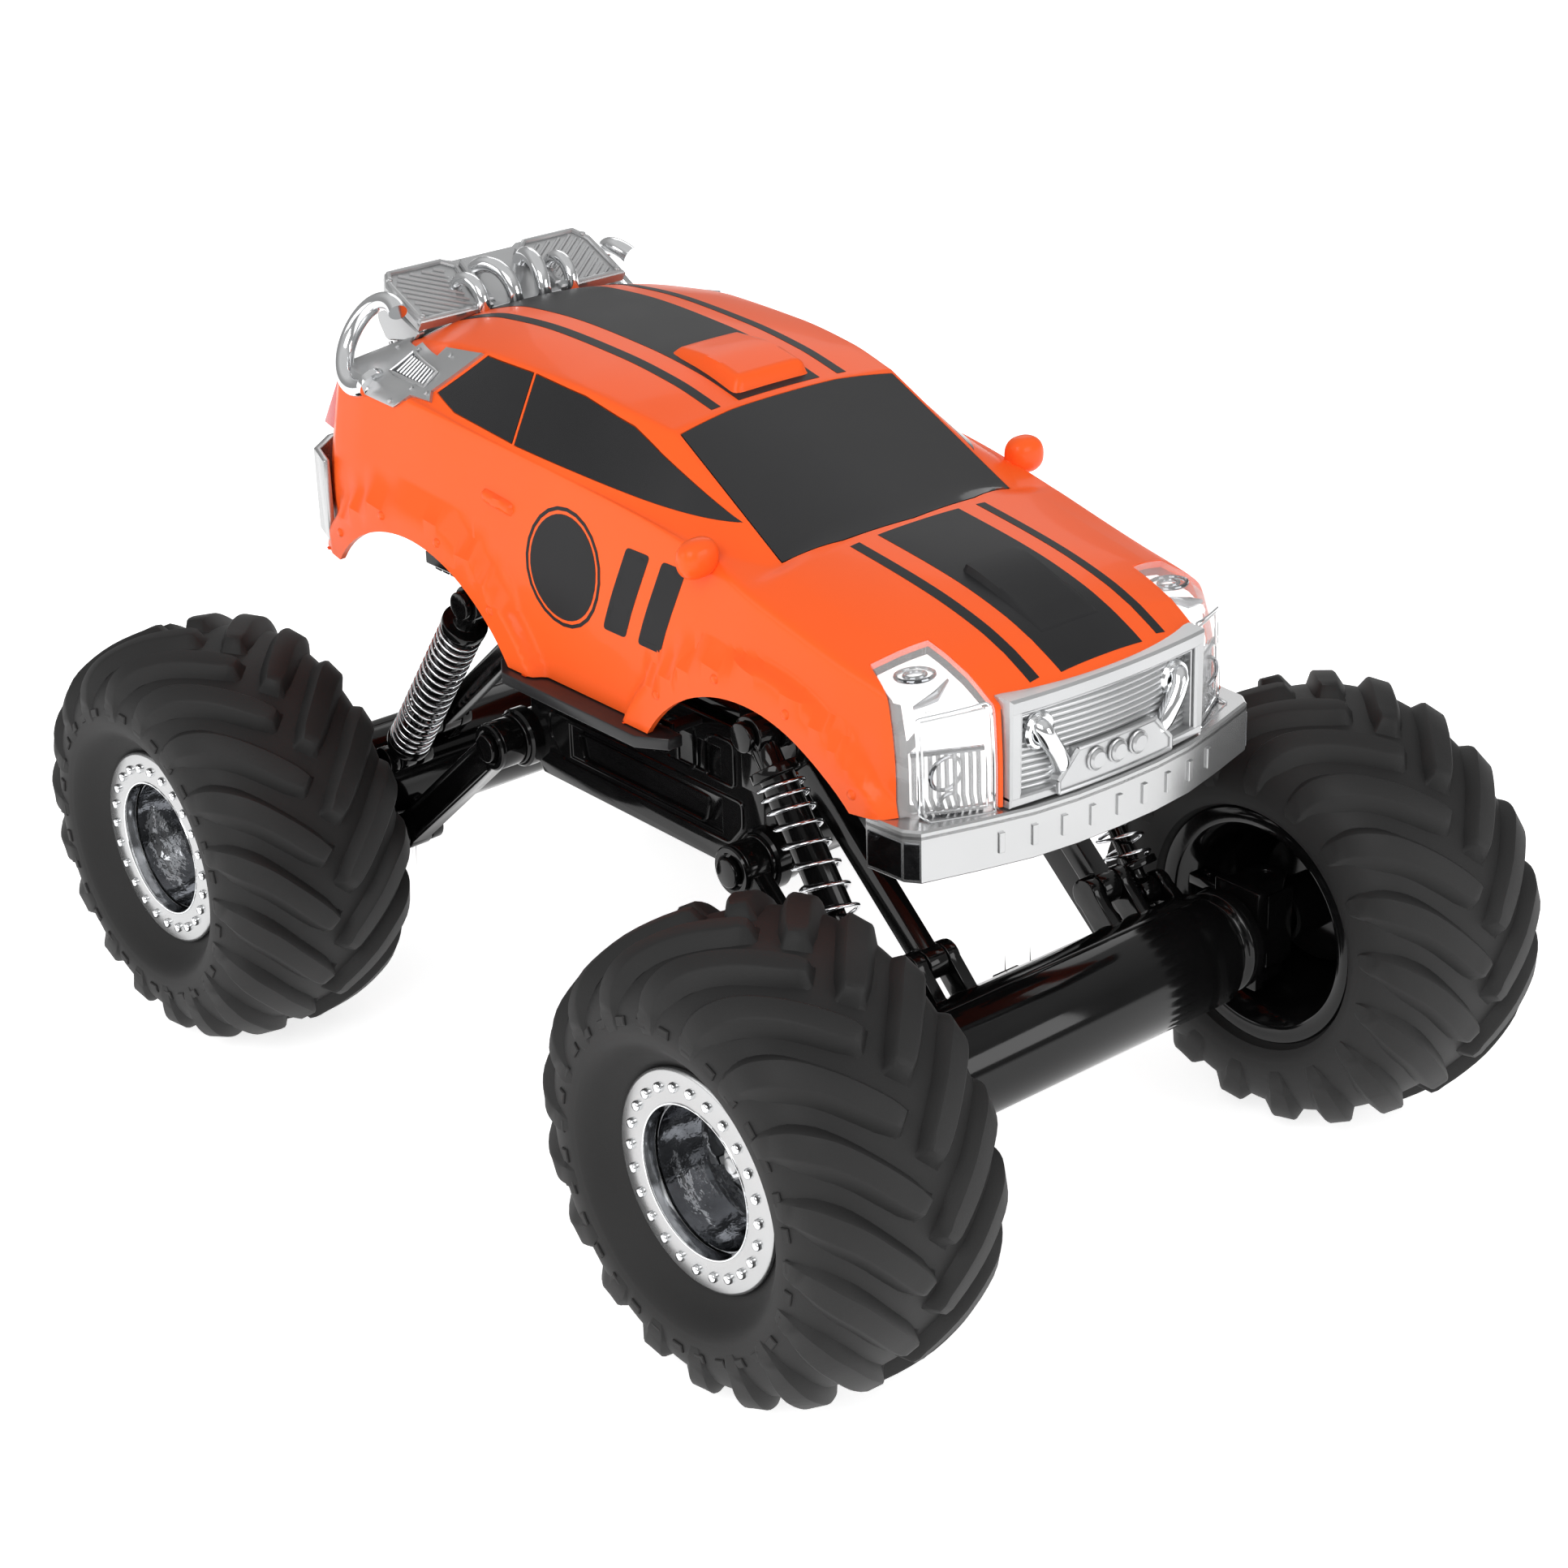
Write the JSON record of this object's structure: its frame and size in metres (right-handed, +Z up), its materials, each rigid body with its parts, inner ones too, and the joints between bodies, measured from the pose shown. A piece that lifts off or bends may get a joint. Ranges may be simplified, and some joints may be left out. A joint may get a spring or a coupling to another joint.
{
  "type": "rc monster truck",
  "caption": "Radio-controlled toy monster truck with an orange coupe body, sprung four-link axles, steered front wheels and large balloon tyres.",
  "frame": {"origin": "on the ground, midway between the axles on the vehicle's centre plane", "axes": "+Z up, -Y towards the nose, +X towards the vehicle's left side"},
  "size_m": [0.23, 0.33, 0.1947],
  "materials": {
    "board": "printed board",
    "brass": "machined",
    "cell_wrap": "shrink wrap",
    "chrome_trim": "bright vacuum plating on plastic",
    "clear_lens": "clear moulded lens",
    "dark_chrome": "dark plating in the wheel dish",
    "gloss_black": "gloss black moulding",
    "motor_can": "plated can",
    "orange_shell": "gloss moulded body colour with satin black stripes",
    "red_lens": "body-coloured gloss lamp",
    "satin_black": "satin black moulding",
    "satin_silver": "satin silver paint",
    "smoked_glass": "gloss smoked window",
    "spring_wire": "bright wire",
    "steel": "machined",
    "tyre_rubber": "matte rubber"
  },
  "bodies": {
    "chassis": {"chassis_tub": "gloss_black", "chassis_lid": "satin_black", "body_shell": "orange_shell", "windscreen": "smoked_glass", "side_windows": "smoked_glass", "rear_window": "smoked_glass", "headlight_lenses": "clear_lens", "headlight_reflectors": "chrome_trim", "grille": "chrome_trim", "front_bumper": "satin_silver", "rear_bumper": "chrome_trim", "tail_lamps": "red_lens", "mirrors": "orange_shell", "engine_panel": "satin_silver", "exhaust_hoops": "chrome_trim", "side_vents": "satin_silver", "side_steps": "satin_black", "battery_door": "satin_black", "battery_pack": "cell_wrap", "circuit_board": "board", "chassis_screws": "gloss_black"},
    "power_switch": {"power_switch": "satin_black"},
    "lower_arms_front": {"lower_arms_front": "gloss_black"},
    "upper_links_front": {"upper_links_front": "gloss_black"},
    "axle_front": {"axle_case_front": "gloss_black", "axle_cover_front": "gloss_black", "axle_pins_front": "steel", "drive_motor_front": "motor_can", "steering_motor": "motor_can"},
    "motor_pinion_front": {"motor_pinion_front": "brass"},
    "shock_cylinders_front": {"shock_cylinders_front": "gloss_black", "shock_springs_front": "spring_wire"},
    "shock_rods_front": {"shock_rods_front": "gloss_black"},
    "knuckle_left": {"knuckle_left": "gloss_black"},
    "knuckle_right": {"knuckle_right": "gloss_black"},
    "tie_rod": {"tie_rod": "gloss_black"},
    "wheel_front_left": {"tyre_front_left": "tyre_rubber", "rim_front_left": "dark_chrome", "bead_ring_front_left": "satin_silver"},
    "wheel_front_right": {"tyre_front_right": "tyre_rubber", "rim_front_right": "dark_chrome", "bead_ring_front_right": "satin_silver"},
    "axle_shaft_front": {"axle_shaft_front": "steel"},
    "lower_arms_rear": {"lower_arms_rear": "gloss_black"},
    "upper_links_rear": {"upper_links_rear": "gloss_black"},
    "axle_rear": {"axle_case_rear": "gloss_black", "axle_cover_rear": "gloss_black", "axle_pins_rear": "steel", "drive_motor_rear": "motor_can"},
    "motor_pinion_rear": {"motor_pinion_rear": "brass"},
    "shock_cylinders_rear": {"shock_cylinders_rear": "gloss_black", "shock_springs_rear": "spring_wire"},
    "shock_rods_rear": {"shock_rods_rear": "gloss_black"},
    "wheels_rear": {"axle_shaft_rear": "steel", "tyre_rear_left": "tyre_rubber", "tyre_rear_right": "tyre_rubber", "rim_rear_left": "dark_chrome", "rim_rear_right": "dark_chrome", "bead_ring_rear_left": "satin_silver", "bead_ring_rear_right": "satin_silver"}
  },
  "joints": [
    {"name": "power_switch_slide", "type": "slide", "parent": "chassis", "child": "power_switch", "axis": [0, 1, 0], "range_m": [0, 0.0022]},
    {"name": "front_suspension", "type": "hinge", "parent": "chassis", "child": "lower_arms_front", "pos_m": [0, -0.048, 0.0845], "axis": [1, 0, 0], "range_deg": [-9, 9], "stiffness_Nm_per_rad": 1.6, "springref_deg": 4.87},
    {"name": "front_axle_level", "type": "hinge", "parent": "lower_arms_front", "child": "axle_front", "pos_m": [0, -0.093, 0.045], "axis": [1, 0, 0], "range_deg": [-9, 9]},
    {"name": "front_upper_links", "type": "hinge", "parent": "chassis", "child": "upper_links_front", "pos_m": [0, -0.0504, 0.112], "axis": [1, 0, 0], "range_deg": [-9, 9]},
    {"name": "front_shock_swing", "type": "hinge", "parent": "chassis", "child": "shock_cylinders_front", "pos_m": [0, -0.055, 0.121], "axis": [1, 0, 0], "range_deg": [-10, 10]},
    {"name": "front_shock_stroke", "type": "slide", "parent": "shock_cylinders_front", "child": "shock_rods_front", "axis": [0, -0.5833, -0.8122], "range_m": [-0.0025, 0.0025], "deforming": ["shock_springs_front"]},
    {"name": "steering", "type": "hinge", "parent": "axle_front", "child": "knuckle_left", "pos_m": [0.068, -0.11, 0.055], "axis": [0, 0, 1], "range_deg": [-18, 18]},
    {"name": "steering_right", "type": "hinge", "parent": "axle_front", "child": "knuckle_right", "pos_m": [-0.068, -0.11, 0.055], "axis": [0, 0, 1], "range_deg": [-18, 18]},
    {"name": "tie_rod_slide", "type": "slide", "parent": "axle_front", "child": "tie_rod", "axis": [1, 0, 0], "range_m": [-0.006, 0.006]},
    {"name": "front_left_wheel_spin", "type": "hinge", "parent": "knuckle_left", "child": "wheel_front_left", "pos_m": [0.0876, -0.11, 0.055], "axis": [1, 0, 0], "continuous": true},
    {"name": "front_right_wheel_spin", "type": "hinge", "parent": "knuckle_right", "child": "wheel_front_right", "pos_m": [-0.0876, -0.11, 0.055], "axis": [1, 0, 0], "continuous": true},
    {"name": "front_shaft_spin", "type": "hinge", "parent": "axle_front", "child": "axle_shaft_front", "pos_m": [0, -0.11, 0.055], "axis": [1, 0, 0], "continuous": true},
    {"name": "front_pinion_spin", "type": "hinge", "parent": "axle_front", "child": "motor_pinion_front", "pos_m": [0, -0.11, 0.0616], "axis": [1, 0, 0], "continuous": true},
    {"name": "rear_suspension", "type": "hinge", "parent": "chassis", "child": "lower_arms_rear", "pos_m": [0, 0.048, 0.0845], "axis": [-1, 0, 0], "range_deg": [-9, 9], "stiffness_Nm_per_rad": 1.6, "springref_deg": 4.87},
    {"name": "rear_axle_level", "type": "hinge", "parent": "lower_arms_rear", "child": "axle_rear", "pos_m": [0, 0.093, 0.045], "axis": [-1, 0, 0], "range_deg": [-9, 9]},
    {"name": "rear_upper_links", "type": "hinge", "parent": "chassis", "child": "upper_links_rear", "pos_m": [0, 0.0504, 0.112], "axis": [-1, 0, 0], "range_deg": [-9, 9]},
    {"name": "rear_shock_swing", "type": "hinge", "parent": "chassis", "child": "shock_cylinders_rear", "pos_m": [0, 0.055, 0.121], "axis": [-1, 0, 0], "range_deg": [-10, 10]},
    {"name": "rear_shock_stroke", "type": "slide", "parent": "shock_cylinders_rear", "child": "shock_rods_rear", "axis": [0, 0.5833, -0.8122], "range_m": [-0.0025, 0.0025], "deforming": ["shock_springs_rear"]},
    {"name": "rear_wheels_spin", "type": "hinge", "parent": "axle_rear", "child": "wheels_rear", "pos_m": [0, 0.11, 0.055], "axis": [1, 0, 0], "continuous": true},
    {"name": "rear_pinion_spin", "type": "hinge", "parent": "axle_rear", "child": "motor_pinion_rear", "pos_m": [0, 0.11, 0.0616], "axis": [1, 0, 0], "continuous": true}
  ],
  "couplings": [
    {"joint": "front_axle_level", "follows": "front_suspension", "ratio": -1},
    {"joint": "front_upper_links", "follows": "front_suspension", "ratio": 1},
    {"joint": "front_shock_swing", "follows": "front_suspension", "ratio": 0.8615},
    {"joint": "front_shock_stroke", "follows": "front_suspension", "m_per_rad": 0.013509},
    {"joint": "steering_right", "follows": "steering", "ratio": 1},
    {"joint": "tie_rod_slide", "follows": "steering", "m_per_rad": -0.01574},
    {"joint": "front_right_wheel_spin", "follows": "front_left_wheel_spin", "ratio": 1},
    {"joint": "front_shaft_spin", "follows": "front_left_wheel_spin", "ratio": 1},
    {"joint": "front_pinion_spin", "follows": "front_left_wheel_spin", "ratio": -2},
    {"joint": "rear_axle_level", "follows": "rear_suspension", "ratio": -1},
    {"joint": "rear_upper_links", "follows": "rear_suspension", "ratio": 1},
    {"joint": "rear_shock_swing", "follows": "rear_suspension", "ratio": 0.8615},
    {"joint": "rear_shock_stroke", "follows": "rear_suspension", "m_per_rad": 0.013509},
    {"joint": "rear_pinion_spin", "follows": "rear_wheels_spin", "ratio": -2}
  ]
}
